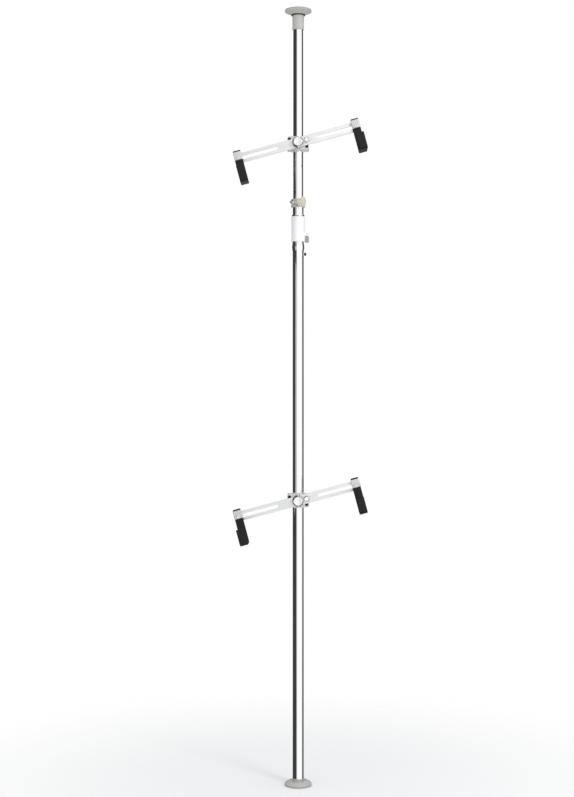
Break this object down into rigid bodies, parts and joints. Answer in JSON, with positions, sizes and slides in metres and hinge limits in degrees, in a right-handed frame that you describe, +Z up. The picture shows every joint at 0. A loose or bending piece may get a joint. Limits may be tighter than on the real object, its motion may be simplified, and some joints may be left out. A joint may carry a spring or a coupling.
{
  "type": "bicycle storage pole",
  "caption": "Floor-to-ceiling telescoping tension pole with a screw jack and tilting, height-adjustable cradles whose padded hooks hold bicycles by the top tube",
  "frame": {"origin": "centre of the foot's sole on the floor, on the pole's axis", "axes": "+Z up along the pole, the hooks point to -Y, the arms run along X with their right end up"},
  "size_m": [0.4813, 0.1864, 2.8],
  "materials": {
    "polished_steel": "polished",
    "cast_grey": "satin",
    "cup_grey": "moulded, satin",
    "pad_rubber": "matt",
    "silver_anodised": "anodised, satin",
    "nut_silver": "satin",
    "zinc_steel": "bright zinc",
    "black_steel": "black oxide",
    "black_nylon": "moulded, matt",
    "ivory_plastic": "moulded, satin",
    "grip_grey": "moulded, satin",
    "hook_coating": "dipped, matt",
    "white_nylon": "moulded, satin",
    "knob_silver": "turned, satin"
  },
  "bodies": {
    "floor_pole": {"lower_tube": "polished_steel", "foot_cup": "cup_grey", "foot_sole": "pad_rubber", "foot_screw": "zinc_steel", "lower_tube_plug": "black_nylon", "jack_ferrule": "polished_steel", "steady_screw": "black_steel"},
    "jack_carriage": {"clamp_neck": "polished_steel", "thrust_washer": "black_nylon", "lock_collar": "cast_grey", "lock_bolt": "zinc_steel"},
    "jack_nut_body": {"jack_nut": "nut_silver", "jack_handle_pin": "zinc_steel"},
    "handle_body": {"jack_handle": "zinc_steel", "jack_handle_grip": "grip_grey"},
    "lock_knob_body": {"lock_knob": "ivory_plastic"},
    "ceiling_pole": {"upper_tube": "polished_steel", "upper_tube_guide": "black_nylon", "ceiling_collar": "cup_grey", "ceiling_cup": "cup_grey", "ceiling_pad": "pad_rubber", "ceiling_screw": "zinc_steel"},
    "upper_liner_body": {"upper_clamp_liner": "white_nylon"},
    "upper_clamp_body": {"upper_clamp_front": "cast_grey", "upper_clamp_back": "cast_grey", "upper_clamp_screws": "black_steel", "upper_pivot_bolt": "zinc_steel"},
    "upper_arm_body": {"upper_arm": "silver_anodised", "upper_tilt_washer": "black_nylon"},
    "upper_tilt_knob_body": {"upper_tilt_knob": "knob_silver"},
    "upper_tilt_lock_body": {"upper_tilt_lock_screw": "knob_silver"},
    "upper_left_slider_body": {"upper_left_slider_block": "cast_grey", "upper_left_slider_plate": "cast_grey", "upper_left_hook": "hook_coating", "upper_left_slider_bolts": "zinc_steel"},
    "upper_left_slider_knob_body": {"upper_left_slider_knob": "cast_grey"},
    "upper_right_slider_body": {"upper_right_slider_block": "cast_grey", "upper_right_slider_plate": "cast_grey", "upper_right_hook": "hook_coating", "upper_right_slider_bolts": "zinc_steel"},
    "upper_right_slider_knob_body": {"upper_right_slider_knob": "cast_grey"},
    "lower_liner_body": {"lower_clamp_liner": "white_nylon"},
    "lower_clamp_body": {"lower_clamp_front": "cast_grey", "lower_clamp_back": "cast_grey", "lower_clamp_screws": "black_steel", "lower_pivot_bolt": "zinc_steel"},
    "lower_arm_body": {"lower_arm": "silver_anodised", "lower_tilt_washer": "black_nylon"},
    "lower_tilt_knob_body": {"lower_tilt_knob": "knob_silver"},
    "lower_tilt_lock_body": {"lower_tilt_lock_screw": "knob_silver"},
    "lower_left_slider_body": {"lower_left_slider_block": "cast_grey", "lower_left_slider_plate": "cast_grey", "lower_left_hook": "hook_coating", "lower_left_slider_bolts": "zinc_steel"},
    "lower_left_slider_knob_body": {"lower_left_slider_knob": "cast_grey"},
    "lower_right_slider_body": {"lower_right_slider_block": "cast_grey", "lower_right_slider_plate": "cast_grey", "lower_right_hook": "hook_coating", "lower_right_slider_bolts": "zinc_steel"},
    "lower_right_slider_knob_body": {"lower_right_slider_knob": "cast_grey"}
  },
  "joints": [
    {"name": "jack_lift", "type": "slide", "parent": "floor_pole", "child": "jack_carriage", "axis": [0, 0, 1], "range_m": [-0.012, 0.018]},
    {"name": "jack_nut_turn", "type": "hinge", "parent": "jack_carriage", "child": "jack_nut_body", "pos_m": [0, 0, 2.014], "axis": [0, 0, 1], "range_deg": [-1080, 1620]},
    {"name": "handle_fold", "type": "hinge", "parent": "jack_nut_body", "child": "handle_body", "pos_m": [0.0322, 0, 1.99], "axis": [0, -1, 0], "range_deg": [0, 90]},
    {"name": "lock_knob_turn", "type": "hinge", "parent": "jack_carriage", "child": "lock_knob_body", "pos_m": [-0.00922, -0.03995, 2.101], "axis": [0.9744, -0.225, 0], "range_deg": [0, 720]},
    {"name": "pole_extend", "type": "slide", "parent": "jack_carriage", "child": "ceiling_pole", "axis": [0, 0, 1], "range_m": [-0.1, 0.2]},
    {"name": "upper_cradle_height", "type": "slide", "parent": "ceiling_pole", "child": "upper_liner_body", "axis": [0, 0, 1], "range_m": [-0.03, 0.25]},
    {"name": "upper_cradle_swivel", "type": "hinge", "parent": "upper_liner_body", "child": "upper_clamp_body", "pos_m": [0, 0, 2.3136], "axis": [0, 0, 1], "range_deg": [-90, 90]},
    {"name": "upper_arm_tilt", "type": "hinge", "parent": "upper_clamp_body", "child": "upper_arm_body", "pos_m": [0, -0.0425, 2.3136], "axis": [0, -1, 0], "range_deg": [-60, 30]},
    {"name": "upper_tilt_knob_turn", "type": "hinge", "parent": "upper_arm_body", "child": "upper_tilt_knob_body", "pos_m": [0, -0.055, 2.3136], "axis": [0, -1, 0], "range_deg": [0, 720]},
    {"name": "upper_tilt_lock_turn", "type": "hinge", "parent": "upper_arm_body", "child": "upper_tilt_lock_body", "pos_m": [0.03139, -0.05, 2.32201], "axis": [0, -1, 0], "range_deg": [0, 720]},
    {"name": "upper_left_hook_slide", "type": "slide", "parent": "upper_arm_body", "child": "upper_left_slider_body", "axis": [0.9659, 0, 0.2588], "range_m": [0, 0.11]},
    {"name": "upper_left_slider_knob_turn", "type": "hinge", "parent": "upper_left_slider_body", "child": "upper_left_slider_knob_body", "pos_m": [-0.21347, -0.03, 2.2564], "axis": [0, 1, 0], "range_deg": [0, 720]},
    {"name": "upper_right_hook_slide", "type": "slide", "parent": "upper_arm_body", "child": "upper_right_slider_body", "axis": [-0.9659, 0, -0.2588], "range_m": [-0.006, 0.104]},
    {"name": "upper_right_slider_knob_turn", "type": "hinge", "parent": "upper_right_slider_body", "child": "upper_right_slider_knob_body", "pos_m": [0.20767, -0.03, 2.36925], "axis": [0, 1, 0], "range_deg": [0, 720]},
    {"name": "lower_cradle_height", "type": "slide", "parent": "floor_pole", "child": "lower_liner_body", "axis": [0, 0, 1], "range_m": [-0.7, 0.7]},
    {"name": "lower_cradle_swivel", "type": "hinge", "parent": "lower_liner_body", "child": "lower_clamp_body", "pos_m": [0, 0, 1.0298], "axis": [0, 0, 1], "range_deg": [-90, 90]},
    {"name": "lower_arm_tilt", "type": "hinge", "parent": "lower_clamp_body", "child": "lower_arm_body", "pos_m": [0, -0.0425, 1.0298], "axis": [0, -1, 0], "range_deg": [-60, 30]},
    {"name": "lower_tilt_knob_turn", "type": "hinge", "parent": "lower_arm_body", "child": "lower_tilt_knob_body", "pos_m": [0, -0.055, 1.0298], "axis": [0, -1, 0], "range_deg": [0, 720]},
    {"name": "lower_tilt_lock_turn", "type": "hinge", "parent": "lower_arm_body", "child": "lower_tilt_lock_body", "pos_m": [0.03139, -0.05, 1.03821], "axis": [0, -1, 0], "range_deg": [0, 720]},
    {"name": "lower_left_hook_slide", "type": "slide", "parent": "lower_arm_body", "child": "lower_left_slider_body", "axis": [0.9659, 0, 0.2588], "range_m": [0, 0.11]},
    {"name": "lower_left_slider_knob_turn", "type": "hinge", "parent": "lower_left_slider_body", "child": "lower_left_slider_knob_body", "pos_m": [-0.21347, -0.03, 0.9726], "axis": [0, 1, 0], "range_deg": [0, 720]},
    {"name": "lower_right_hook_slide", "type": "slide", "parent": "lower_arm_body", "child": "lower_right_slider_body", "axis": [-0.9659, 0, -0.2588], "range_m": [-0.006, 0.104]},
    {"name": "lower_right_slider_knob_turn", "type": "hinge", "parent": "lower_right_slider_body", "child": "lower_right_slider_knob_body", "pos_m": [0.20767, -0.03, 1.08545], "axis": [0, 1, 0], "range_deg": [0, 720]}
  ],
  "couplings": [
    {"joint": "jack_nut_turn", "follows": "jack_lift", "rad_per_m": 1570.8}
  ]
}
